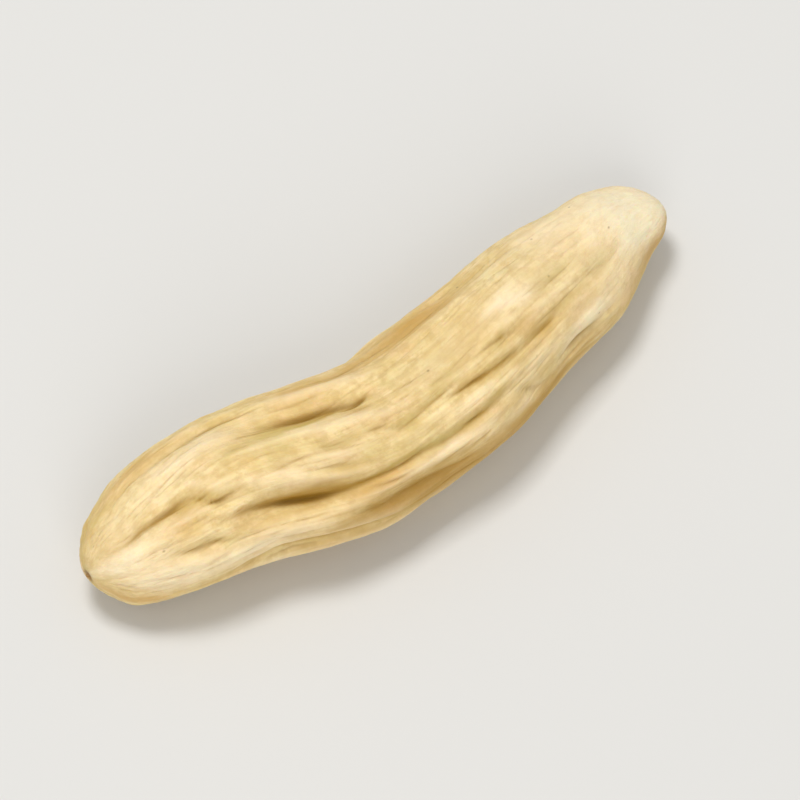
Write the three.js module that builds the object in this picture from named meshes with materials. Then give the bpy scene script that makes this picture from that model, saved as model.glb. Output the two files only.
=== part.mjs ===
// A dried dwarf lilyturf tuber: a small bent spindle of pale yellow root flesh, wrinkled lengthwise.
// Millimetres, +Z up. It lies along X on a small flat spot of its belly, which is at Z = 0.
// Shares run from 0 at the root end, at -X, to 1 at the far end. Angles go round a section in
// degrees: 0 is the +Y flank, 90 the top, 180 the -Y flank and 270 the belly.

import * as THREE from "three";

const LENGTH = 25; // tip to tip
const FLATNESS = 0.88; // a section's height over its width
const ROOT_CAP = 0.045; // share of the length that rounds off the root end
const FAR_CAP = 0.05; // the same at the far end

const SIDES = 84; // points round a section
const RINGS = 68; // sections between the two tips

// The sections that set the form. side is the middle's place across the tuber, half its half
// width, and gap the belly's height over the surface: below zero it is pressed flat there.
const SECTIONS = [
  { share: 0.0, side: 0.2, half: 1.1, gap: 0.9 },
  { share: 0.05, side: 0.0, half: 1.82, gap: 0.42 },
  { share: 0.11, side: -0.07, half: 2.44, gap: 0.14 },
  { share: 0.22, side: -0.25, half: 2.88, gap: -0.04 },
  { share: 0.3, side: -0.9, half: 3.05, gap: -0.1 },
  { share: 0.37, side: -1.34, half: 2.99, gap: -0.14 },
  { share: 0.47, side: -1.49, half: 2.86, gap: -0.14 },
  { share: 0.6, side: -1.16, half: 2.87, gap: -0.12 },
  { share: 0.72, side: -0.5, half: 2.68, gap: -0.04 },
  { share: 0.84, side: 0.01, half: 2.25, gap: 0.1 },
  { share: 0.9, side: 0.48, half: 1.9, gap: 0.28 },
  { share: 0.95, side: 0.74, half: 1.43, gap: 0.46 },
  { share: 1.0, side: 0.62, half: 1.05, gap: 0.72 },
];

// The furrows of the upper side. A path is a few places, each a share and an angle; peak is how
// far along the path the furrow is deepest, depth and breadth are its size there.
const FURROWS = [
  {
    path: [[0.12, 131], [0.21, 136], [0.27, 141], [0.33, 143], [0.42, 141]],
    peak: 0.52,
    depth: 0.64,
    breadth: 0.44,
  },
  { path: [[0.3, 143], [0.4, 142], [0.5, 144], [0.68, 144]], peak: 0.64, depth: 0.22, breadth: 0.26 },
  { path: [[0.28, 170], [0.4, 167], [0.57, 170]], peak: 0.45, depth: 0.3, breadth: 0.42 },
  { path: [[0.17, 88], [0.29, 76], [0.37, 76], [0.52, 91]], peak: 0.54, depth: 0.48, breadth: 0.38 },
  {
    path: [[0, 98], [0.12, 101], [0.15, 102], [0.18, 117], [0.25, 121]],
    peak: 0.42,
    depth: 0.35,
    breadth: 0.28,
  },
  { path: [[0.44, 114], [0.51, 115], [0.57, 121], [0.68, 128]], peak: 0.6, depth: 0.2, breadth: 0.26 },
  { path: [[0.6, 124], [0.68, 128], [0.75, 125], [0.86, 120]], peak: 0.4, depth: 0.19, breadth: 0.26 },
  { path: [[0.56, 104], [0.62, 109], [0.71, 121]], peak: 0.55, depth: 0.16, breadth: 0.26 },
  { path: [[0.02, 132], [0.09, 137], [0.15, 145], [0.22, 156]], peak: 0.6, depth: 0.23, breadth: 0.28 },
  { path: [[0.08, 61], [0.2, 59], [0.33, 62]], peak: 0.6, depth: 0.16, breadth: 0.34 },
  { path: [[0.5, 54], [0.64, 50], [0.8, 54]], peak: 0.4, depth: 0.2, breadth: 0.4 },
];

// The furrows of the far flank and the belly are drawn by a seeded rule in the same style.
const SEED = 7;
const HIDDEN_FURROWS = 15;
const HIDDEN_FROM = 187;
const HIDDEN_TO = 381;

const SHOULDER = 0.25; // height of the rounded folds beside a furrow, over its depth
const FLOOR = 0.45; // how far a furrow's floor is rounded, over its breadth
const SWELL = 0.05; // height of the broad lumps that the furrows run over
const FADE_HALF = 1.9; // below this half width the furrows run out towards the tips

function smooth(low, high, value) {
  const t = Math.min(Math.max((value - low) / (high - low), 0), 1);
  return t * t * (3 - 2 * t);
}

// A smooth curve through points [position, value], with the slopes of their neighbours.
function curveThrough(points, position) {
  const last = points.length - 1;
  const inside = Math.min(Math.max(position, points[0][0]), points[last][0]);
  let i = 0;
  while (i < last - 1 && inside > points[i + 1][0]) i += 1;
  const slope = (k) => {
    const before = points[Math.max(k - 1, 0)];
    const after = points[Math.min(k + 1, last)];
    return (after[1] - before[1]) / (after[0] - before[0]);
  };
  const span = points[i + 1][0] - points[i][0];
  const t = (inside - points[i][0]) / span;
  const blend = t * t * (3 - 2 * t);
  const rise = t * (1 - t) * (1 - t) * slope(i) - t * t * (1 - t) * slope(i + 1);
  return points[i][1] * (1 - blend) + points[i + 1][1] * blend + rise * span;
}

function ofSection(key, share) {
  return curveThrough(SECTIONS.map((section) => [section.share, section[key]]), share);
}

function roundedEnd(share, cap) {
  const t = Math.min(share / cap, 1);
  return Math.sqrt(1 - (1 - t) * (1 - t));
}

function halfWidth(share) {
  return ofSection("half", share) * roundedEnd(share, ROOT_CAP) * roundedEnd(1 - share, FAR_CAP);
}

// A small repeatable source of numbers from 0 to 1.
function makeDraw(seed) {
  let state = seed;
  return (low, high) => {
    state = (state + 0x6d2b79f5) >>> 0;
    let mixed = Math.imul(state ^ (state >>> 15), state | 1);
    mixed ^= mixed + Math.imul(mixed ^ (mixed >>> 7), mixed | 61);
    return low + ((high - low) * ((mixed ^ (mixed >>> 14)) >>> 0)) / 4294967296;
  };
}

function hiddenFurrows() {
  const draw = makeDraw(SEED);
  const furrows = [];
  for (let i = 0; i < HIDDEN_FURROWS; i += 1) {
    const angle = HIDDEN_FROM + ((HIDDEN_TO - HIDDEN_FROM) * (i + draw(0.2, 0.8))) / HIDDEN_FURROWS;
    const start = draw(0.03, 0.45);
    const end = start + draw(0.25, 0.5);
    const middle = (start + end) / 2;
    const path = [[start, angle - draw(-7, 7)], [middle, angle], [end, angle + draw(-7, 7)]];
    furrows.push({ path, peak: draw(0.3, 0.7), depth: draw(0.25, 0.6), breadth: draw(0.28, 0.4) });
  }
  return furrows;
}

const ALL_FURROWS = [...FURROWS, ...hiddenFurrows()];

// How far one furrow and the folds beside it move the surface outwards, in millimetres.
function furrowRelief(furrow, share, angle, radius) {
  const start = furrow.path[0][0];
  const end = furrow.path[furrow.path.length - 1][0];
  const t = (share - start) / (end - start);
  if (t <= 0 || t >= 1) return 0;
  const run = t < furrow.peak ? t / furrow.peak : (1 - t) / (1 - furrow.peak);
  const strength = Math.sin((Math.PI / 2) * run) ** 2;
  const turn = ((angle - curveThrough(furrow.path, share) + 540) % 360) - 180;
  const across = Math.abs(THREE.MathUtils.degToRad(turn) * radius) / furrow.breadth;
  const valley = Math.exp(FLOOR - Math.hypot(across, FLOOR));
  const fold = Math.exp(-((across - 2.4) ** 2));
  return furrow.depth * strength * (SHOULDER * fold - valley);
}

// All the relief of one place. It is pressed out where the belly rests on the flat spot.
function relief(share, angle, radius) {
  const turn = THREE.MathUtils.degToRad(angle);
  const lumps = Math.sin(5 * Math.PI * share + 2 * turn) + Math.sin(9 * Math.PI * share - 3 * turn);
  const furrows = ALL_FURROWS.reduce((sum, furrow) => sum + furrowRelief(furrow, share, angle, radius), 0);
  const pressed = smooth(0.06, -0.08, ofSection("gap", share)) * smooth(0.85, 0.94, -Math.sin(turn));
  return (SWELL * lumps + furrows) * smooth(0, FADE_HALF, radius) * (1 - pressed);
}

// One point of the skin, before the whole is centred.
function skinPoint(share, angle) {
  const half = halfWidth(share);
  const high = half * FLATNESS;
  const turn = THREE.MathUtils.degToRad(angle);
  const outward = new THREE.Vector2(Math.cos(turn) / half, Math.sin(turn) / high).normalize();
  const push = relief(share, angle, half);
  const middle = ofSection("half", share) * FLATNESS + ofSection("gap", share);
  const y = ofSection("side", share) + half * Math.cos(turn) + push * outward.x;
  const z = middle + high * Math.sin(turn) + push * outward.y;
  return [LENGTH * share, y, Math.max(z, 0)];
}

function tipPoint(share) {
  const middle = ofSection("half", share) * FLATNESS + ofSection("gap", share);
  return [LENGTH * share, ofSection("side", share), middle];
}

// Rings of points from tip to tip, closer together where the ends round off.
function tuberGeometry() {
  const positions = [...tipPoint(0)];
  for (let ring = 1; ring <= RINGS; ring += 1) {
    const share = (1 - Math.cos((Math.PI * ring) / (RINGS + 1))) / 2;
    for (let side = 0; side < SIDES; side += 1) positions.push(...skinPoint(share, (360 * side) / SIDES));
  }
  positions.push(...tipPoint(1));

  const point = (ring, side) => 1 + (ring - 1) * SIDES + (side % SIDES);
  const farTip = 1 + RINGS * SIDES;
  const faces = [];
  for (let side = 0; side < SIDES; side += 1) {
    faces.push(0, point(1, side + 1), point(1, side));
    for (let ring = 1; ring < RINGS; ring += 1) {
      faces.push(point(ring, side), point(ring, side + 1), point(ring + 1, side));
      faces.push(point(ring, side + 1), point(ring + 1, side + 1), point(ring + 1, side));
    }
    faces.push(farTip, point(RINGS, side), point(RINGS, side + 1));
  }

  const geometry = new THREE.BufferGeometry();
  geometry.setAttribute("position", new THREE.Float32BufferAttribute(positions, 3));
  geometry.setIndex(faces);
  geometry.computeBoundingBox();
  const centre = geometry.boundingBox.getCenter(new THREE.Vector3());
  geometry.translate(-centre.x, -centre.y, 0);
  geometry.computeVertexNormals();
  return geometry;
}

const skin = new THREE.MeshStandardMaterial({ color: 0xe9d19b, roughness: 0.72, metalness: 0 });

const tuber = new THREE.Mesh(tuberGeometry(), skin);
tuber.name = "tuber";

const part = new THREE.Group();
part.add(tuber);

export default part;
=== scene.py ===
# %% [markdown]
# # A dried dwarf lilyturf tuber
# The tuber is the swollen part of a thin root, lifted, washed and dried whole. It shrank as it dried,
# so its skin is folded lengthwise into furrows, deep ones that run half its length and fine ones
# between them. It is pale yellow, a little browner in the furrows, and faintly translucent.
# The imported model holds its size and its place. This lesson makes the skin that is seen around it.

import math

import bpy
import numpy as np
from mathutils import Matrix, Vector, noise


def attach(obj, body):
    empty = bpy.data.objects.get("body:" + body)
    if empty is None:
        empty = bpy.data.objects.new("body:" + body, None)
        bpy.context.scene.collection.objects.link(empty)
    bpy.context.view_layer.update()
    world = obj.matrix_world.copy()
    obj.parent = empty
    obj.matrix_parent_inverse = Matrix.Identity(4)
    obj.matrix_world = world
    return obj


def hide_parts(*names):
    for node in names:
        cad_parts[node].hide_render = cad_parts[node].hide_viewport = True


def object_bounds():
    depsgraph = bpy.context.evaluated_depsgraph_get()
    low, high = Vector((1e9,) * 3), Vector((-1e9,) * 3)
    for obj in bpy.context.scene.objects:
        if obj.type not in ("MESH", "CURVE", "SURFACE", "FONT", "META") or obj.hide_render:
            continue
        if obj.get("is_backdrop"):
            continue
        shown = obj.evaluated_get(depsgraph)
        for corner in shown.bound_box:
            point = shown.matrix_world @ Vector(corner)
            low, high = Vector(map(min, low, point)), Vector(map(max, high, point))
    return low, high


MM = 0.001  # metres in a millimetre

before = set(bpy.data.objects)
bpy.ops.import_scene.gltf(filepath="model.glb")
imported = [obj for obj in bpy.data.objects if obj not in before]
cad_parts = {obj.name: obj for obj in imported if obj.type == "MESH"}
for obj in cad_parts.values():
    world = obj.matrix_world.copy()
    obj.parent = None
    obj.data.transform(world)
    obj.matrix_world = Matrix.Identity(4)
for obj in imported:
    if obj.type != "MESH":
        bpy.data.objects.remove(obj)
cad_low, cad_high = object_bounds()
print("packed box in mm:", [round(side / MM, 2) for side in cad_high - cad_low])

# %% [markdown]
# ## Sizes
# The skin is worked out in millimetres and scaled to metres at the very end. Its length is read from
# the frame. Places on it are given as a share of the length, from 0 at the root end to 1 at the far
# end, and as an angle round the section: 0 is the +Y flank, 90 the top, 180 the -Y flank and 270 the
# belly. The sections say how the middle wanders sideways, how thick the tuber is, and how high its
# belly is over the surface that it lies on. Below zero the belly is pressed flat there. A curve with
# a bevel could give the bend and the taper, but not the flat belly, so the sections are joined in code.

# %% Sizes and sections
LENGTH = (cad_high.x - cad_low.x) / MM
FLATNESS = 0.88  # a section's height over its width
ROOT_CAP = 0.045  # share of the length that rounds off the root end
FAR_CAP = 0.05  # the same at the far end

SECTION_SHARES = [0.0, 0.05, 0.11, 0.22, 0.3, 0.37, 0.47, 0.6, 0.72, 0.84, 0.9, 0.95, 1.0]
SECTION_SIDES = [0.2, 0.0, -0.07, -0.25, -0.9, -1.34, -1.49, -1.16, -0.5, 0.01, 0.48, 0.74, 0.62]
SECTION_HALVES = [1.1, 1.82, 2.44, 2.88, 3.05, 2.99, 2.86, 2.87, 2.68, 2.25, 1.9, 1.43, 1.05]
SECTION_GAPS = [0.9, 0.42, 0.14, -0.04, -0.1, -0.14, -0.14, -0.12, -0.04, 0.1, 0.28, 0.46, 0.72]


def smooth(low, high, values):
    """A soft step from 0 at low to 1 at high."""
    t = np.clip((values - low) / (high - low), 0, 1)
    return t * t * (3 - 2 * t)


def curve_through(places, heights, values):
    """A smooth curve through the given points, with the slopes of their neighbours."""
    places, heights = np.array(places, float), np.array(heights, float)
    last = len(places) - 1
    before, after = np.maximum(np.arange(last + 1) - 1, 0), np.minimum(np.arange(last + 1) + 1, last)
    slopes = (heights[after] - heights[before]) / (places[after] - places[before])
    inside = np.clip(values, places[0], places[-1])
    i = np.clip(np.searchsorted(places, inside) - 1, 0, last - 1)
    span = places[i + 1] - places[i]
    t = (inside - places[i]) / span
    blend = t * t * (3 - 2 * t)
    rise = t * (1 - t) ** 2 * slopes[i] - t * t * (1 - t) * slopes[i + 1]
    return heights[i] * (1 - blend) + heights[i + 1] * blend + rise * span


def half_width(share):
    """Half the width of a section, rounded off at the two ends."""
    root = np.minimum(share / ROOT_CAP, 1)
    far = np.minimum((1 - share) / FAR_CAP, 1)
    rounded = np.sqrt(1 - (1 - root) ** 2) * np.sqrt(1 - (1 - far) ** 2)
    return curve_through(SECTION_SHARES, SECTION_HALVES, share) * rounded


widest = 2 * half_width(np.linspace(0, 1, 101)).max()
print("length", round(LENGTH, 2), "mm, widest", round(float(widest), 2), "mm")

# %% [markdown]
# ## A grid on the skin
# A UV sphere is the right start for a closed spindle, because its poles become the two tips and its
# meridians run lengthwise, as the wrinkles do. Its rings stand closer together near the poles, which
# rounds the tips off well. The relief is worked out on this grid of rings and meridians first. Each
# point's place on a straightened tuber is kept too. Patterns that are drawn there follow the bend.
# The straightened tuber narrows to its tips less than the real one does, so on the real one they
# close in on the tips, as its fibres do.

# %% The grid
RINGS = 220
MERIDIANS = 440
FULL_HALF = 3.0  # half width in millimetres at which the straightened tuber is as thick as the real one
ring_share = (1 - np.cos(np.pi * np.arange(RINGS + 1) / RINGS)) / 2
meridian_angle = np.arange(MERIDIANS) * 360 / MERIDIANS
share, angle = np.meshgrid(ring_share, meridian_angle, indexing="ij")
turn = np.radians(angle)
half = half_width(share)
straight_half = np.sqrt(FULL_HALF * half)
straight_y, straight_z = straight_half * np.cos(turn), straight_half * np.sin(turn)
fibre_place = np.stack([LENGTH * share, straight_y, straight_z], axis=-1)
print("grid of", share.size, "places")

# %% [markdown]
# ## The furrows
# The photographed side has furrows of its own, so they are given one by one: a path of a few shares
# and angles, where along it the furrow is deepest, and its depth and breadth there in millimetres.
# The hidden side gets furrows of the same style from a seeded rule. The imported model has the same
# hidden ones and the main ones of the upper side, so the skin only adds what is finer.
# A furrow is a narrow valley between two rounded folds, because skin that shrinks buckles that way.
# Its floor is rounded a little, so that it doesn't look cut with a knife. Sculpting would be the usual
# way to make such folds, but here each of them can be moved later by its own numbers.

# %% The long furrows
# Each has shares, angles, a peak from 0 to 1 along the path, a depth and a breadth.
FURROWS = [
    ([0.12, 0.18, 0.21, 0.24, 0.27, 0.3, 0.33, 0.37, 0.42],
     [131, 134, 136, 138, 141, 143, 143, 142, 141], 0.52, 0.64, 0.44),
    ([0.3, 0.34, 0.38, 0.42, 0.46, 0.5, 0.55, 0.6, 0.68],
     [143, 143, 141, 142, 142, 144, 144, 144, 144], 0.56, 0.225, 0.2),
    ([0.28, 0.34, 0.38, 0.42, 0.46, 0.5, 0.57], [170, 168, 167, 167, 169, 170, 170], 0.45, 0.3, 0.42),
    ([0.17, 0.21, 0.25, 0.29, 0.33, 0.37, 0.41, 0.45, 0.52],
     [88, 86, 79, 76, 75, 76, 80, 84, 91], 0.54, 0.48, 0.38),
    ([0.0, 0.06, 0.09, 0.12, 0.15, 0.165, 0.18, 0.21, 0.25],
     [98, 99, 100, 101, 102, 109, 117, 119, 121], 0.42, 0.35, 0.28),
    ([0.44, 0.48, 0.51, 0.54, 0.57, 0.6, 0.63, 0.68],
     [114, 114, 115, 119, 121, 123, 125, 128], 0.5, 0.21, 0.19),
    ([0.6, 0.64, 0.68, 0.71, 0.75, 0.8, 0.86], [124, 126, 128, 128, 125, 122, 120], 0.4, 0.19, 0.22),
    ([0.56, 0.59, 0.62, 0.645, 0.67, 0.71], [104, 106, 109, 112, 116, 121], 0.55, 0.14, 0.2),
    ([0.45, 0.48, 0.51, 0.53, 0.56], [112, 111, 110, 109, 108], 0.5, 0.1, 0.2),
    ([0.31, 0.36, 0.4], [105, 107, 106], 0.5, 0.15, 0.2),
    ([0.38, 0.42, 0.45, 0.48, 0.53], [106, 109, 115, 115, 112], 0.45, 0.15, 0.2),
    ([0.27, 0.31, 0.34, 0.4], [121, 121, 122, 124], 0.5, 0.19, 0.18),
    ([0.02, 0.06, 0.09, 0.12, 0.15, 0.18, 0.22], [132, 134, 137, 143, 145, 152, 156], 0.6, 0.23, 0.24),
    ([0.61, 0.635, 0.65, 0.68], [148, 155, 161, 166], 0.5, 0.15, 0.22),
    ([0.7, 0.75, 0.78, 0.85], [160, 162, 163, 163], 0.45, 0.2, 0.26),
    ([0.74, 0.78, 0.83], [137, 137, 136], 0.5, 0.1, 0.22),
    ([0.69, 0.73, 0.77, 0.82], [104, 103, 102, 101], 0.55, 0.13, 0.24),
    ([0.77, 0.81, 0.85, 0.9], [121, 120, 123, 132], 0.55, 0.16, 0.26),
    ([0.04, 0.1, 0.15, 0.19, 0.23], [80, 80, 84, 88, 87], 0.5, 0.13, 0.2),
    ([0.155, 0.175, 0.195, 0.24], [110, 116, 118, 121], 0.35, 0.17, 0.2),
    ([0.64, 0.7, 0.77], [74, 70, 70], 0.5, 0.08, 0.2),
    ([0.08, 0.2, 0.33], [61, 59, 62], 0.6, 0.16, 0.34),
    ([0.5, 0.64, 0.8], [54, 50, 54], 0.4, 0.2, 0.4),
]
HIDDEN_SEED = 7
HIDDEN_FURROWS = 15
HIDDEN_FROM = 187  # degrees round the section
HIDDEN_TO = 381
HIDDEN_APART = (0.2, 0.8)  # where each lies in its own part of those degrees
HIDDEN_STARTS = (0.03, 0.45)
HIDDEN_LENGTHS = (0.25, 0.5)  # as shares of the tuber's length
HIDDEN_DEPTHS = (0.25, 0.6)
HIDDEN_BREADTHS = (0.28, 0.4)
SLANT = 7  # most degrees from a hidden furrow's middle to either end
PEAKS = (0.3, 0.7)  # where along its path a furrow is deepest
SHOULDER = 0.25  # height of the rounded folds beside a furrow, over its depth
FOLD_PLACE = 2.4  # how far the top of a fold lies from the furrow's line, over its breadth
FLOOR = 0.45  # how far a furrow's floor is rounded, over its breadth
STATES = 2**32  # how many states the number source has


def make_draw(seed):
    """A small repeatable source of numbers between two limits."""
    state = seed

    def draw(low, high):
        nonlocal state
        state = (state + 0x6D2B79F5) % STATES
        mixed = ((state ^ (state >> 15)) * (state | 1)) % STATES
        mixed ^= (mixed + ((mixed ^ (mixed >> 7)) * (mixed | 61)) % STATES) % STATES
        return low + (high - low) * (mixed ^ (mixed >> 14)) / STATES

    return draw


def hidden_furrows():
    """The furrows of the far flank and the belly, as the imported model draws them."""
    draw = make_draw(HIDDEN_SEED)
    furrows = []
    for i in range(HIDDEN_FURROWS):
        along = (i + draw(*HIDDEN_APART)) / HIDDEN_FURROWS
        middle_angle = HIDDEN_FROM + (HIDDEN_TO - HIDDEN_FROM) * along
        start = draw(*HIDDEN_STARTS)
        end = start + draw(*HIDDEN_LENGTHS)
        angles = [middle_angle - draw(-SLANT, SLANT), middle_angle, middle_angle + draw(-SLANT, SLANT)]
        peak, depth, breadth = draw(*PEAKS), draw(*HIDDEN_DEPTHS), draw(*HIDDEN_BREADTHS)
        furrows.append(([start, (start + end) / 2, end], angles, peak, depth, breadth))
    return furrows


def turn_from(line, place_angle):
    """How many degrees a place's angle is past a line's, from -180 to 180."""
    return (place_angle - line + 540) % 360 - 180


def furrow_relief(furrow, place_angle):
    """How far one furrow and its folds move each place outwards, in millimetres."""
    shares, angles, peak, depth, breadth = furrow
    raised = np.zeros_like(share)
    rows = np.flatnonzero((ring_share > shares[0]) & (ring_share < shares[-1]))
    t = (ring_share[rows] - shares[0]) / (shares[-1] - shares[0])
    run = np.where(t < peak, t / peak, (1 - t) / (1 - peak))
    strength = np.sin(np.pi / 2 * run) ** 2
    line = curve_through(shares, angles, ring_share[rows])
    off = turn_from(line[:, None], place_angle[rows])
    across = np.abs(np.radians(off) * half[rows]) / breadth
    valley = np.exp(FLOOR - np.hypot(across, FLOOR))
    fold = np.exp(-((across - FOLD_PLACE) ** 2))
    raised[rows] = depth * strength[:, None] * (SHOULDER * fold - valley)
    return raised


long_furrows = FURROWS + hidden_furrows()
print(len(FURROWS), "furrows of the upper side and", HIDDEN_FURROWS, "of the hidden side")

# %% [markdown]
# ## The fine wrinkles
# Between the long furrows the skin has short shallow ones, and striae: fine lines, side by side, that
# run the length of the tuber, join and part. The short ones are drawn by a seeded rule, each a small
# furrow. The striae come from a noise that is stretched lengthwise. Its absolute value has rounded
# tops and sharp valleys, which is just the section of shrunken skin. Both calm down at the far end.
# Bump in the material could fake all this, but not where the skin is seen against the light.

# %% The fine wrinkles
WRINKLE_SEED = 112
WRINKLES = 150
WRINKLE_STARTS = (0.0, 0.9)
WRINKLE_LENGTHS = (0.08, 0.25)  # as shares of the tuber's length
WRINKLE_DEPTHS = (0.02, 0.08)
WRINKLE_BREADTHS = (0.07, 0.16)
WRINKLE_BEND = 3  # most degrees from its start to its middle
WRINKLE_SLANT = 5  # and from its start to its end

STRIAE = [(5.5, 0.6, 0.065), (3.2, 0.3, 0.042), (1.8, 0.17, 0.022)]  # length, spacing and depth
STRAY = 0.6  # how far a line strays sideways, over the spacing
TOP = 0.4  # the noise that makes the top of a ridge, where 0 makes the floor of a valley
NARROWNESS = 0.65  # a power: below 1 it makes the valleys narrow and the ridges broad
EVEN = 0.65  # the mean strength of the lines
PATCHY = 0.6  # how much it varies from place to place

SWELL = 0.05  # height of the broad lumps that the furrows run over
WANDER = 1.6  # degrees that a furrow strays from its path
UNEVENNESS = 0.35  # how much the depth of a furrow varies along it
CALM = 0.35  # how much of the fine wrinkles is lost at the far end
CALMING = (0.74, 0.9)  # the shares over which it is lost
RESTING = (0.06, -0.08)  # the gaps over which the belly comes to rest on the surface
UNDERSIDE = (0.85, 0.94)  # how steeply down a place faces where the rest presses it flat
FADE_HALF = 1.6  # below this half width the relief runs out towards the tips


def noise_field(stretch, shift=0.0, places=fibre_place):
    """Noise from about -1 to 1 over the grid, with lumps as long and as wide as stretch says."""
    scaled = places.reshape(-1, 3) / np.array(stretch) + shift
    return np.array([noise.noise(Vector(place)) for place in scaled]).reshape(share.shape)


def short_wrinkles():
    """Short shallow furrows, strewn over the whole skin."""
    draw = make_draw(WRINKLE_SEED)
    wrinkles = []
    for _ in range(WRINKLES):
        start, long = draw(*WRINKLE_STARTS), draw(*WRINKLE_LENGTHS)
        first = draw(0, 360)
        middle = first + draw(-WRINKLE_BEND, WRINKLE_BEND)
        last = first + draw(-WRINKLE_SLANT, WRINKLE_SLANT)
        depth, breadth = draw(*WRINKLE_DEPTHS), draw(*WRINKLE_BREADTHS)
        shares, angles = [start, start + long / 2, start + long], [first, middle, last]
        wrinkles.append((shares, angles, draw(*PEAKS), depth, breadth))
    return wrinkles


def striae(length, spacing, depth, shift):
    """Fine lines along the tuber, spacing apart, that wander, join and part."""
    wave = noise_field((3.0, 2.0, 2.0), shift + 3)[..., None] * spacing * STRAY
    ridges = noise_field((length, spacing, spacing), shift, fibre_place + wave)
    strength = EVEN + PATCHY * noise_field((3.5, 1.6, 1.6), shift + 7)
    return depth * strength * (np.clip(np.abs(ridges) / TOP, 0, 1) ** NARROWNESS - 1)


wander = angle + WANDER * noise_field((3.0, 3.0, 3.0))
uneven = 1 + UNEVENNESS * noise_field((1.6, 3.0, 3.0), shift=11)
calm = 1 - CALM * smooth(*CALMING, share)
long_relief = sum(furrow_relief(furrow, wander) for furrow in long_furrows)
short_relief = sum(furrow_relief(wrinkle, wander) for wrinkle in short_wrinkles())
lumps = SWELL * (np.sin(5 * np.pi * share + 2 * turn) + np.sin(9 * np.pi * share - 3 * turn))
lines = sum(striae(*layer, shift=20 * i + 5) for i, layer in enumerate(STRIAE))
gap = curve_through(SECTION_SHARES, SECTION_GAPS, share)
pressed = smooth(*RESTING, gap) * smooth(*UNDERSIDE, -np.sin(turn))
coarse_relief = (lumps + long_relief * uneven) * smooth(0, FADE_HALF, half)
fine_relief = (short_relief + lines) * calm * smooth(0.2, FADE_HALF, half)
relief = (coarse_relief + fine_relief) * (1 - pressed)
print("relief from", round(float(relief.min()), 2), "to", round(float(relief.max()), 2), "mm")

# %% [markdown]
# ## What the finish will follow
# The hollows get brown colour and painted shade, the fine creases painted shade, and the crests a
# painted highlight. A place is hollow when its neighbours round the section stand higher than it does.
# That is measured here at two widths, for the long furrows and for the fine creases. Blender's Dirty
# Vertex Colors finds hollows too, but it doesn't tell the wide ones from the fine ones.

# %% Hollows and crests
BROAD_REACH = 15  # meridians to each side
FINE_REACH = 3
HOLLOW_DEPTHS = (0.02, 0.26)  # millimetres, from faintly hollow to wholly so
CREST_HEIGHTS = (0.0, 0.14)
CREASE_DEPTHS = (0.004, 0.05)


def hollowness(reach):
    """How far the neighbours within reach meridians stand above each place, in millimetres."""
    steps = [step for step in range(-reach, reach + 1) if step]
    around = sum(np.roll(relief, step, axis=1) for step in steps) / len(steps)
    return around - relief


# The hollow mask carries brown colour and painted shade, the crease mask painted shade, and the crest mask
# a painted highlight.
broad = hollowness(BROAD_REACH)
hollow_brown_and_shade = smooth(*HOLLOW_DEPTHS, broad)
crest_highlight = smooth(*CREST_HEIGHTS, -broad)
crease_shade = smooth(*CREASE_DEPTHS, hollowness(FINE_REACH))
print("share of the skin in hollows", round(float((hollow_brown_and_shade > 0.3).mean()), 3))

# %% [markdown]
# ## The colour patches, with painted light and shade
# Dried root flesh isn't one colour. Where it is mealy it looks pale, where it is dense it looks
# amber, along some furrows it is olive, and in the deep ones brown. Some patches are painted light and
# shade as well: the pale ones are partly painted light, the amber and brown ones partly painted shade.
# The patches of each kind that show on this tuber are given one by one: a share, an angle, their reach
# along the tuber and round it, and their strength. A noise moves the places at which they are read,
# so their edges are ragged.
# Painting them by hand in texture paint would work too, but it needs a picture beside the script.

# %% Colour patches
RAGGED_SHARE = 0.02  # how far the noise moves a patch's edge along the tuber
RAGGED_ANGLE = 6  # and round it, in degrees

# Each has a share, an angle, its reach along and round the tuber, and its strength.
# Brown patches: partly the flesh's own brown along the furrows, partly painted shade on the lower flank,
# along the top edge and under the far end.
BROWN_AND_SHADE_PATCHES = [
    (0.27, 138, 0.06, 6, 1.0),
    (0.35, 141, 0.06, 5, 1.0),
    (0.37, 82, 0.03, 4, 0.9),
    (0.41, 87, 0.012, 4, 0.7),
    (0.1, 102, 0.05, 4, 0.7),
    (0.06, 102, 0.02, 5, 0.6),
    (0.2, 134, 0.02, 4, 0.5),
    (0.51, 112, 0.03, 3, 0.5),
    (0.59, 142, 0.03, 3, 0.5),
    (0.66, 114, 0.02, 3, 0.5),
    (0.36, 167, 0.04, 7, 0.6),
    (0.45, 168, 0.08, 8, 0.7),
    (0.62, 123, 0.03, 3, 0.6),
    (0.7, 127, 0.03, 4, 0.5),
    (0.64, 110, 0.02, 3, 0.5),
    (0.46, 184, 0.14, 13, 0.8),
    (0.68, 186, 0.12, 12, 0.8),
    (0.53, 44, 0.13, 10, 0.4),
    (0.95, 174, 0.05, 9, 0.4),
]
# Amber patches: partly the flesh's own amber, partly painted shade along the top edge, on the lower flank
# and under both ends.
AMBER_AND_SHADE_PATCHES = [
    (0.12, 118, 0.04, 8, 0.5),
    (0.39, 150, 0.05, 7, 0.9),
    (0.46, 172, 0.13, 10, 0.8),
    (0.68, 178, 0.12, 9, 0.7),
    (0.69, 120, 0.03, 6, 0.5),
    (0.94, 172, 0.06, 14, 1.0),
    (0.05, 190, 0.04, 15, 1.0),
    (0.39, 52, 0.06, 9, 1.0),
    (0.13, 46, 0.07, 12, 0.8),
    (0.57, 48, 0.08, 14, 0.9),
    (0.3, 250, 0.12, 40, 0.5),
    (0.72, 300, 0.1, 40, 0.6),
]
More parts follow.
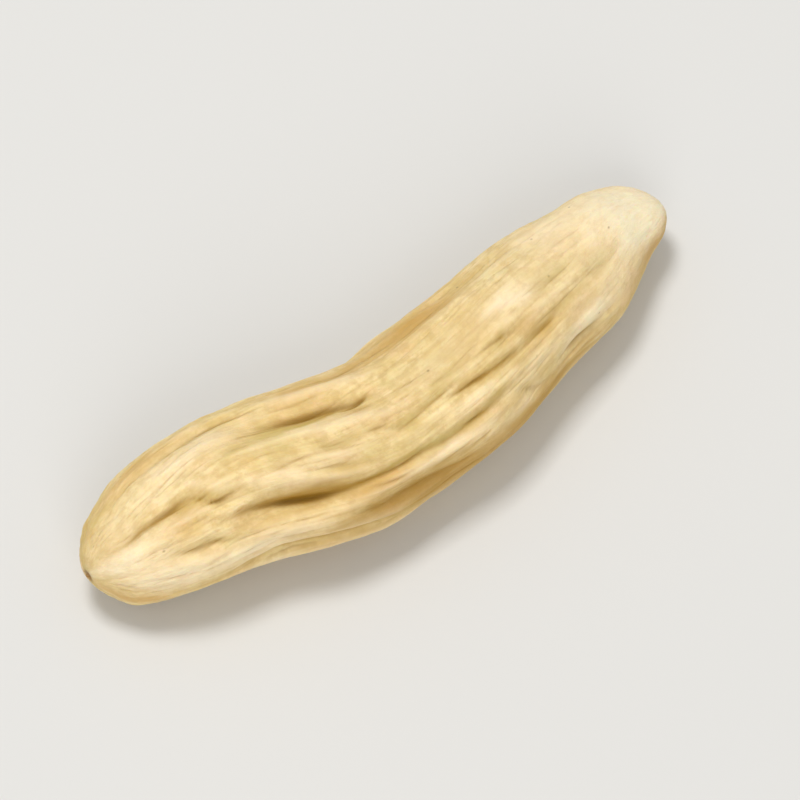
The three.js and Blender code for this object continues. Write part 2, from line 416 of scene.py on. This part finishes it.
# Pale patches: partly the flesh's own pale far end, partly painted light on the far end and on the near
# flank.
PALE_AND_LIT_PATCHES = [
    (0.95, 80, 0.11, 55, 1.0),
    (0.95, 128, 0.06, 24, 0.9),
    (0.76, 96, 0.16, 24, 0.22),
    (0.8, 60, 0.06, 18, 0.5),
    (0.67, 91, 0.03, 7, 0.6),
    (0.7, 98, 0.03, 7, 0.5),
    (0.04, 122, 0.045, 20, 0.9),
    (0.08, 158, 0.05, 20, 0.85),
    (0.19, 168, 0.07, 10, 0.8),
    (0.15, 74, 0.05, 12, 0.5),
    (0.5, 151, 0.05, 5, 0.8),
    (0.56, 131, 0.08, 4, 0.15),
    (0.66, 146, 0.06, 8, 0.4),
    (0.63, 163, 0.05, 6, 0.3),
    (0.78, 154, 0.05, 10, 0.5),
    (0.82, 146, 0.08, 17, 0.3),
    (0.54, 92, 0.07, 12, 0.2),
    (0.05, 82, 0.05, 16, 0.3),
    (0.22, 73, 0.05, 12, 0.45),
    (0.33, 115, 0.06, 8, 0.3),
]
OLIVE_PATCHES = [
    (0.32, 83, 0.05, 5, 1.0),
    (0.22, 88, 0.02, 4, 0.5),
    (0.17, 112, 0.03, 4, 0.7),
    (0.46, 114, 0.04, 5, 0.6),
    (0.53, 108, 0.04, 4, 0.6),
    (0.37, 107, 0.03, 3, 0.5),
    (0.36, 122, 0.05, 3, 0.5),
    (0.4, 140, 0.06, 3, 0.8),
    (0.54, 141, 0.1, 3, 0.8),
    (0.77, 101, 0.04, 5, 0.7),
    (0.76, 123, 0.04, 5, 0.5),
    (0.76, 72, 0.03, 8, 0.4),
    (0.86, 123, 0.03, 7, 0.5),
    (0.5, 84, 0.08, 10, 0.2),
    (0.38, 90, 0.03, 10, 0.3),
]


def patches(spots):
    """Soft spots over the grid, from 0 to 1."""
    total = np.zeros_like(share)
    for at, at_angle, along, around, strength in spots:
        off = turn_from(at_angle, ragged_angle)
        total += strength * np.exp(-(((ragged_share - at) / along) ** 2) - (off / around) ** 2)
    return np.clip(total, 0, 1)


ragged_share = share + RAGGED_SHARE * noise_field((1.2, 0.6, 0.6), shift=31)
ragged_angle = angle + RAGGED_ANGLE * noise_field((1.6, 0.5, 0.5), shift=37)
painted = {
    "brown_and_shade": patches(BROWN_AND_SHADE_PATCHES),
    "amber_and_shade": patches(AMBER_AND_SHADE_PATCHES),
    "pale_and_lit": patches(PALE_AND_LIT_PATCHES),
    "olive": patches(OLIVE_PATCHES),
}
for kind, strength in painted.items():
    print(kind, "covers", round(float((strength > 0.3).mean()), 3), "of the skin")

# %% [markdown]
# ## The root scars
# The root ran on past both ends and was broken off. Each end has a small sunken scar with the stub of
# the root's woody core standing in it, thin as a bristle. They are modelled as a dimple and a stub
# round each pole, by moving the skin along the tuber. A boolean cut would leave hard edges in a skin
# that dried as one piece.

# %% Root scars
ROOT_SCAR = (0.0, 0.24, 0.1)  # its share, radius and depth
FAR_SCAR = (1.0, 0.18, 0.07)
CORE = 0.34  # radius of the stub, over the scar's
STUB = 1.3  # height of the stub, over the scar's depth


def scar_shape(at, radius, depth):
    """How strongly the scar of one end marks each place, and how deep the place sinks there."""
    near = np.where(np.abs(share - at) < ROOT_CAP, 1.0, 0.0)
    away = half / radius
    mark = near * np.exp(-(away**4))
    sink = near * depth * (np.exp(-(away**2)) - STUB * np.exp(-((away / CORE) ** 4)))
    return mark, sink


root_mark, root_sink = scar_shape(*ROOT_SCAR)
far_mark, far_sink = scar_shape(*FAR_SCAR)
scar = np.clip(root_mark + far_mark, 0, 1)
print("deepest scar", round(float(root_sink.max()), 2), "mm")

# %% [markdown]
# ## Shaping the skin
# The sphere is turned in edit mode so that its poles lie along the tuber, and each of its points is
# then moved to its place on the skin. That last step is done in code, because no operator can follow
# hundreds of furrows that bend with the body. Points that would sink below the surface stay on it.

# %% The shaped skin
bpy.ops.object.select_all(action="DESELECT")
bpy.ops.mesh.primitive_uv_sphere_add(segments=MERIDIANS, ring_count=RINGS, radius=1, location=(0, 0, 0))
tuber = bpy.context.object
tuber.name = "dried_tuber"
bpy.ops.object.mode_set(mode="EDIT")
bpy.ops.mesh.select_all(action="SELECT")
bpy.ops.transform.rotate(value=math.pi / 2, orient_axis="Y", center_override=(0, 0, 0))
bpy.ops.object.mode_set(mode="OBJECT")

sphere = np.empty(len(tuber.data.vertices) * 3)
tuber.data.vertices.foreach_get("co", sphere)
sphere = sphere.reshape(-1, 3)
ring = np.rint(np.arccos(np.clip(-sphere[:, 0], -1, 1)) / np.pi * RINGS).astype(int)
sphere_angle = np.degrees(np.arctan2(sphere[:, 2], sphere[:, 1]))
meridian = np.rint(sphere_angle * MERIDIANS / 360).astype(int) % MERIDIANS

middle_y = curve_through(SECTION_SHARES, SECTION_SIDES, share)
middle_z = curve_through(SECTION_SHARES, SECTION_HALVES, share) * FLATNESS + gap
outward = np.stack([np.cos(turn), np.sin(turn) / FLATNESS], axis=-1)
outward /= np.linalg.norm(outward, axis=-1, keepdims=True)
x = LENGTH * share + root_sink - far_sink
y = middle_y + half * np.cos(turn) + relief * outward[..., 0]
z = np.maximum(middle_z + half * FLATNESS * np.sin(turn) + relief * outward[..., 1], 0)
skin = np.stack([x, y, z], axis=-1)[ring, meridian]
cad_centre = (cad_low + cad_high) / 2 / MM
skin[:, :2] += np.array(cad_centre[:2]) - (skin[:, :2].min(axis=0) + skin[:, :2].max(axis=0)) / 2
tuber.data.vertices.foreach_set("co", (skin * MM).ravel())
tuber.data.update()
print("skin of", len(tuber.data.vertices), "points")

# %% [markdown]
# ## Keeping the measures on the mesh
# The hollows, crests, patches and scars become attributes, one number for each point, because a
# material can read those by name. The place on the straightened tuber is kept too, so that a pattern
# can run along the bend. A UV map could carry it, but would have a seam.

# %% Attributes
def keep(name, values):
    """Stores one number for each point of the skin."""
    layer = tuber.data.attributes.new(name, "FLOAT", "POINT")
    layer.data.foreach_set("value", values[ring, meridian].astype(np.float32))


measured = {"hollow_brown_and_shade": hollow_brown_and_shade, "crest_highlight": crest_highlight, "crease_shade": crease_shade, "scar": scar}
for name, values in (measured | painted).items():
    keep(name, values)
layer = tuber.data.attributes.new("fibre_place", "FLOAT_VECTOR", "POINT")
layer.data.foreach_set("vector", fibre_place[ring, meridian].astype(np.float32).ravel())
print("attributes:", [a.name for a in tuber.data.attributes if not a.name.startswith(".")])

# %% [markdown]
# ## Grain in the skin
# Dried skin has a fine uneven grain, like orange peel but shallower. Two Displace modifiers with cloud
# textures, one coarse and one fine, give it in the geometry, where a raking light finds it. Each is
# applied at once, and what it pushed below the surface is put back on it.

# %% Grain
GRAINS = {"coarse_grain": (0.6, 0.04), "fine_grain": (0.16, 0.014)}  # size and height
bpy.ops.object.select_all(action="DESELECT")
tuber.select_set(True)
bpy.context.view_layer.objects.active = tuber
for name, (size, height) in GRAINS.items():
    cloud = bpy.data.textures.new(name, "CLOUDS")
    cloud.noise_scale = size * MM
    displace = tuber.modifiers.new(name, "DISPLACE")
    displace.texture = cloud
    displace.texture_coords = "LOCAL"
    displace.strength = height * MM
    bpy.ops.object.modifier_apply(modifier=name)

for vertex in tuber.data.vertices:
    vertex.co.z = max(vertex.co.z, 0)
bpy.ops.object.shade_smooth()
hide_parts("tuber")
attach(tuber, "root")
print("skin box in mm:", [round(side / MM, 2) for side in tuber.dimensions])

# %% [markdown]
# ## Node helpers
# Each material is a small tree of nodes. Two helpers keep the trees short to write: one adds a node
# and fills in its sockets, the other lays a colour over another by a mask.

# %% Node helpers
def add_node(tree, kind, settings=None, **sockets):
    """Adds a node with its options. Its sockets, by name or as _0, _1, take values or links."""
    made = tree.nodes.new(kind)
    for option, value in (settings or {}).items():
        setattr(made, option, value)
    for socket, value in sockets.items():
        numbered = socket[1:].isdigit()
        target = made.inputs[int(socket[1:]) if numbered else socket.replace("_", " ")]
        if isinstance(value, bpy.types.NodeSocket):
            tree.links.new(value, target)
        else:
            target.default_value = value
    return made


def read(tree, name, output="Fac"):
    """An attribute of the mesh, as a socket."""
    return add_node(tree, "ShaderNodeAttribute", {"attribute_name": name}).outputs[output]


def lay_over(tree, below, colour, mask, strength):
    """Lays a colour over the one below, as far as the mask times the strength says."""
    amount = add_node(tree, "ShaderNodeMath", {"operation": "MULTIPLY"}, _0=mask, _1=strength).outputs[0]
    mix = add_node(tree, "ShaderNodeMix", {"data_type": "RGBA"}, _0=amount, _6=below, _7=colour)
    return mix.outputs[2]


def colour_of(red, green, blue):
    """A colour given as seen on a screen, from 0 to 255, as the linear values that a shader takes."""
    seen = np.array([red, green, blue]) / 255
    linear = np.where(seen <= 0.04045, seen / 12.92, ((seen + 0.055) / 1.055) ** 2.4)
    return (*map(float, linear), 1.0)


print("a middle grey of 128 is", round(colour_of(128, 128, 128)[0], 3))

# %% [markdown]
# ## The palette
# The flesh dries to cream where it is mealy and to amber where it is glassy, and its folds are brown.
# The amber and the browns also serve as painted shade, and the pale as painted light and as a
# painted highlight on the crests.
# The colours could be given as the linear values that a shader takes. They are written as they look on
# a screen instead, from 0 to 255, because that is easier to judge beside a photograph.

# %% Palette
CREAM = colour_of(244, 223, 169)
TAN = colour_of(227, 199, 136)
# The amber is partly the flesh's own colour and partly painted shade.
AMBER_AND_SHADE = colour_of(208, 160, 84)
PEACH = colour_of(246, 212, 168)
MEALY = colour_of(214, 184, 124)
OLIVE = colour_of(192, 170, 88)
# This pale is partly the flesh's own pale and partly painted light; on the crests it is a painted
# highlight.
PALE_AND_HIGHLIGHT = colour_of(255, 236, 201)
STREAK = colour_of(206, 170, 102)
# The furrow brown is partly the folds' own brown and partly painted shade; the deep brown is painted shade
# in the deepest part of the furrows.
FURROW_BROWN_AND_SHADE = colour_of(167, 123, 24)
DEEP_FURROW_SHADE = colour_of(117, 80, 6)
SPECK_BROWN = colour_of(112, 62, 20)
SCAR_BROWN = colour_of(136, 90, 38)
print("cream as a shader takes it:", [round(c, 3) for c in CREAM])

# %% [markdown]
# ## Two shared effects
# Two effects are built as groups with named sockets, so that they can be used again with other
# values. Fibres are faint streaks that run lengthwise, from a noise stretched along the straightened
# tuber. The flesh takes them twice, coarse and fine. Specks are the few dark dots where a hair root
# stood or a grain of soil stuck, from a cell pattern of which only a few cells are let through.

# %% Shared node groups
FIBRE_STRETCH = (0.1, 1.0, 1.0)
THINNER = 2.7  # how much finer the thin fibres are than the wide ones


def new_group(name, takes, gives):
    """An empty node group with named sockets."""
    group = bpy.data.node_groups.new(name, "ShaderNodeTree")
    for socket, default in takes.items():
        made = group.interface.new_socket(socket, in_out="INPUT", socket_type="NodeSocketFloat")
        made.default_value = default
    group.interface.new_socket("Place", in_out="INPUT", socket_type="NodeSocketVector")
    for socket in gives:
        group.interface.new_socket(socket, in_out="OUTPUT", socket_type="NodeSocketFloat")
    return group, group.nodes.new("NodeGroupInput"), group.nodes.new("NodeGroupOutput")


def make_fibres():
    """Streaks along the tuber: a mask, and a height for the bump."""
    group, given, result = new_group("fibres", {"Fineness": 3.0}, ["Streaks", "Height"])
    place, fineness = given.outputs["Place"], given.outputs["Fineness"]
    stretched = add_node(group, "ShaderNodeMapping", _0=place, _3=FIBRE_STRETCH).outputs[0]
    finer = add_node(group, "ShaderNodeMath", {"operation": "MULTIPLY"}, _0=fineness, _1=THINNER).outputs[0]
    wide = add_node(group, "ShaderNodeTexNoise", Vector=stretched, Scale=fineness, Detail=4.0).outputs[0]
    thin = add_node(group, "ShaderNodeTexNoise", Vector=stretched, Scale=finer, Detail=3.0).outputs[0]
    ramp = add_node(group, "ShaderNodeMapRange", Value=wide, From_Min=0.42, From_Max=0.66)
    group.links.new(ramp.outputs[0], result.inputs["Streaks"])
    both = add_node(group, "ShaderNodeMath", {"operation": "ADD"}, _0=wide, _1=thin)
    group.links.new(both.outputs[0], result.inputs["Height"])
    return group


def make_specks():
    """Small dark dots, thinly strewn."""
    group, given, result = new_group("specks", {"Density": 1.0, "Share": 0.12}, ["Dots"])
    place, density, share_kept = (given.outputs[name] for name in ("Place", "Density", "Share"))
    cells = add_node(group, "ShaderNodeTexVoronoi", Vector=place, Scale=density)
    away = cells.outputs["Distance"]
    dot = add_node(group, "ShaderNodeMapRange", Value=away, From_Min=0.14, From_Max=0.04).outputs[0]
    pick = add_node(group, "ShaderNodeSeparateColor", Color=cells.outputs["Color"]).outputs[0]
    kept = add_node(group, "ShaderNodeMath", {"operation": "LESS_THAN"}, _0=pick, _1=share_kept).outputs[0]
    both = add_node(group, "ShaderNodeMath", {"operation": "MULTIPLY"}, _0=dot, _1=kept)
    group.links.new(both.outputs[0], result.inputs["Dots"])
    return group


fibres = make_fibres()
specks = make_specks()
print("node groups:", fibres.name, "and", specks.name)

# %% [markdown]
# ## The dried flesh
# The colour is laid on from the inside out. First the flesh: cream mottled with tan, peach and
# olive, and mealy in small flecks. Then what dried otherwise: the olive and amber places, the streaks
# of the fibres and the pale places, with the flecks once more, fainter. The amber places are partly
# painted shade and the pale ones partly painted light. Last the painted light and shade of the relief
# and the marks on the surface: a painted highlight on the crests, painted shade in the creases, brown
# and painted shade in the furrows and the brown patches, a few specks and the scars. The skin is
# matte with a faint uneven gloss, and light sinks a little way into it, which softens the furrows.
# One brown in all the hollows would look flat, so the deepest part of a furrow gets a second, darker
# painted shade.

# %% The flesh material
FINISH = {
    "Subsurface Weight": 0.6,
    "Subsurface Radius": (0.85, 0.6, 0.3),
    "Subsurface Scale": 0.5 * MM,
    "Specular IOR Level": 0.22,
}
GLOSS = {"To_Min": 0.5, "To_Max": 0.7}  # roughness of the plain and of the mottled flesh
BUMP_HEIGHT = 0.028 * MM


def flesh_material():
    """The pale yellow flesh with all that shows on it."""
    material = bpy.data.materials.new("dried_flesh")
    material.use_nodes = True
    tree = material.node_tree
    shader = tree.nodes["Principled BSDF"]
    place = read(tree, "fibre_place", "Vector")

    def group(which, **values):
        """One of the shared effects, with values of its own."""
        return add_node(tree, "ShaderNodeGroup", {"node_tree": which}, Place=place, **values)

    def noise_mask(scale, low, high, detail=4.0, shift=0.0):
        """Soft patches of noise, let through between two of its values."""
        moved = add_node(tree, "ShaderNodeMapping", _0=place, _1=(shift, shift, shift)).outputs[0]
        shape = {"Scale": scale, "Detail": detail, "Roughness": 0.6}
        cloud = add_node(tree, "ShaderNodeTexNoise", Vector=moved, **shape).outputs[0]
        return add_node(tree, "ShaderNodeMapRange", Value=cloud, From_Min=low, From_Max=high).outputs[0]

    mottled = noise_mask(0.55, 0.38, 0.62)
    mealy = noise_mask(2.4, 0.46, 0.62, detail=5.0, shift=41)
    streaks = group(fibres, Fineness=2.4)
    hairlines = group(fibres, Fineness=7.0)
    dots = group(specks, Density=1.9, Share=0.07)

    hollow_brown_and_shade_mask = read(tree, "hollow_brown_and_shade")
    deep_shade = add_node(tree, "ShaderNodeMapRange", Value=hollow_brown_and_shade_mask, From_Min=0.45, From_Max=1.0)
    # Each layer is a colour, a mask that says where it shows, and its strength there.
    layers = [
        (TAN, mottled, 0.85),
        (PEACH, noise_mask(0.8, 0.5, 0.68, shift=9), 0.5),
        (OLIVE, noise_mask(0.6, 0.5, 0.68, shift=23), 0.45),
        (MEALY, mealy, 0.56),
        (OLIVE, read(tree, "olive"), 0.75),
        # The amber places are partly painted shade, and the pale ones further down partly painted light.
        (AMBER_AND_SHADE, read(tree, "amber_and_shade"), 0.75),
        (STREAK, streaks.outputs["Streaks"], 0.38),
        (STREAK, hairlines.outputs["Streaks"], 0.26),
        (PALE_AND_HIGHLIGHT, read(tree, "pale_and_lit"), 0.95),
        (MEALY, mealy, 0.16),
        # A painted highlight on the crests, painted shade in the creases, brown and painted shade in the
        # hollows and the brown patches, and a darker painted shade in the deepest part.
        (PALE_AND_HIGHLIGHT, read(tree, "crest_highlight"), 0.4),
        (FURROW_BROWN_AND_SHADE, read(tree, "crease_shade"), 0.45),
        (FURROW_BROWN_AND_SHADE, hollow_brown_and_shade_mask, 0.85),
        (FURROW_BROWN_AND_SHADE, read(tree, "brown_and_shade"), 0.7),
        (DEEP_FURROW_SHADE, deep_shade.outputs[0], 0.5),
        (SPECK_BROWN, dots.outputs["Dots"], 0.45),
        (SCAR_BROWN, read(tree, "scar"), 0.75),
    ]
    colour = CREAM
    for top, mask, strength in layers:
        colour = lay_over(tree, colour, top, mask, strength)
    tree.links.new(colour, shader.inputs["Base Color"])

    rough = add_node(tree, "ShaderNodeMapRange", Value=mottled, **GLOSS)
    tree.links.new(rough.outputs[0], shader.inputs["Roughness"])
    grain = add_node(tree, "ShaderNodeTexNoise", Vector=place, Scale=9.0, Detail=5.0, Roughness=0.65)
    hairs = hairlines.outputs["Height"]
    rise = add_node(tree, "ShaderNodeMath", {"operation": "ADD"}, _0=hairs, _1=grain.outputs[0])
    bump = add_node(tree, "ShaderNodeBump", Strength=0.7, Distance=BUMP_HEIGHT, Height=rise.outputs[0])
    tree.links.new(bump.outputs[0], shader.inputs["Normal"])
    for socket, value in FINISH.items():
        shader.inputs[socket].default_value = value
    return material


tuber.data.materials.clear()
tuber.data.materials.append(flesh_material())
print("flesh nodes:", len(tuber.data.materials[0].node_tree.nodes))

# %% [markdown]
# ## The floor
# The tuber lies on a plain pale floor, which isn't part of it. A plane is enough, because it is so
# much wider than the view that its edges don't show.

# %% Floor
FLOOR_SIZE = 1.2
FLOOR_COLOUR = colour_of(216, 215, 212)
bpy.ops.mesh.primitive_plane_add(size=FLOOR_SIZE, location=(0, 0, 0))
floor = bpy.context.object
floor.name = "floor"
pale_floor = bpy.data.materials.new("pale_floor")
pale_floor.use_nodes = True
floor_shader = pale_floor.node_tree.nodes["Principled BSDF"]
floor_shader.inputs["Base Color"].default_value = FLOOR_COLOUR
floor_shader.inputs["Roughness"].default_value = 0.9
floor.data.materials.append(pale_floor)
floor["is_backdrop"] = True
print("floor", FLOOR_SIZE, "m across")

# %% [markdown]
# ## Light and camera
# The key light is a soft panel high over the tuber and a little behind it, so the furrows shade
# themselves and the near flank falls off. A wider and weaker panel in front, lower than the camera,
# opens the shadows, and an even pale sky fills the rest. A sun lamp would be simpler, but its hard
# shadows would hide the fine wrinkles. The camera looks down steeply from the photograph's direction.
# Its lens is long, because the tuber filled little of the photograph's view.

# %% Light and camera
VIEW_AZIMUTH = math.radians(-36.6)
VIEW_ELEVATION = math.radians(58)
LENS = 400
FRAME_WIDTH = 27.5 * MM  # what the camera sees across the middle of the tuber

# Azimuth and elevation in degrees, distance and size in metres, power in watts.
PANELS = {
    "key_panel": (-168, 76, 0.4, 0.12, 0.88),
    "fill_panel": (-32, 33, 0.5, 0.3, 0.84),
}
SKY_COLOUR = (1.0, 0.99, 0.97, 1.0)
SKY_STRENGTH = 0.475


def direction(azimuth, elevation):
    """A unit vector from the object: azimuth 0 is towards -Y, 90 degrees is towards +X."""
    level = math.cos(elevation)
    return Vector((math.sin(azimuth) * level, -math.cos(azimuth) * level, math.sin(elevation)))


def add_panel(name, azimuth, elevation, distance, size, power):
    """A square light panel that faces the tuber."""
    light = bpy.data.lights.new(name, "AREA")
    light.size = size
    light.energy = power
    lamp = bpy.data.objects.new(name, light)
    towards = direction(math.radians(azimuth), math.radians(elevation))
    lamp.location = towards * distance
    lamp.rotation_euler = towards.to_track_quat("Z", "Y").to_euler()
    bpy.context.scene.collection.objects.link(lamp)


for name, values in PANELS.items():
    add_panel(name, *values)

world = bpy.data.worlds.new("studio")
world.use_nodes = True
background = world.node_tree.nodes["Background"]
background.inputs["Color"].default_value = SKY_COLOUR
background.inputs["Strength"].default_value = SKY_STRENGTH
bpy.context.scene.world = world
bpy.context.scene.view_settings.view_transform = "Standard"

camera = bpy.data.cameras.new("camera")
camera.lens = LENS
camera.clip_start = 0.001
eye = bpy.data.objects.new("camera", camera)
back = direction(VIEW_AZIMUTH, VIEW_ELEVATION)
eye.location = (cad_low + cad_high) / 2 + back * (FRAME_WIDTH * LENS / camera.sensor_width)
eye.rotation_euler = back.to_track_quat("Z", "Y").to_euler()
bpy.context.scene.collection.objects.link(eye)
bpy.context.scene.camera = eye
print("camera at", [round(c, 3) for c in eye.location])

# %% [markdown]
# ## The skin's size
# How much larger the box of the skin is than the box of the imported tuber is printed.

# %% Print how much larger the skin's box is
skin_low, skin_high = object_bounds()
growth = (skin_high - skin_low) - (cad_high - cad_low)
print("the skin's box is larger by", [round(side / MM, 3) for side in growth], "mm")
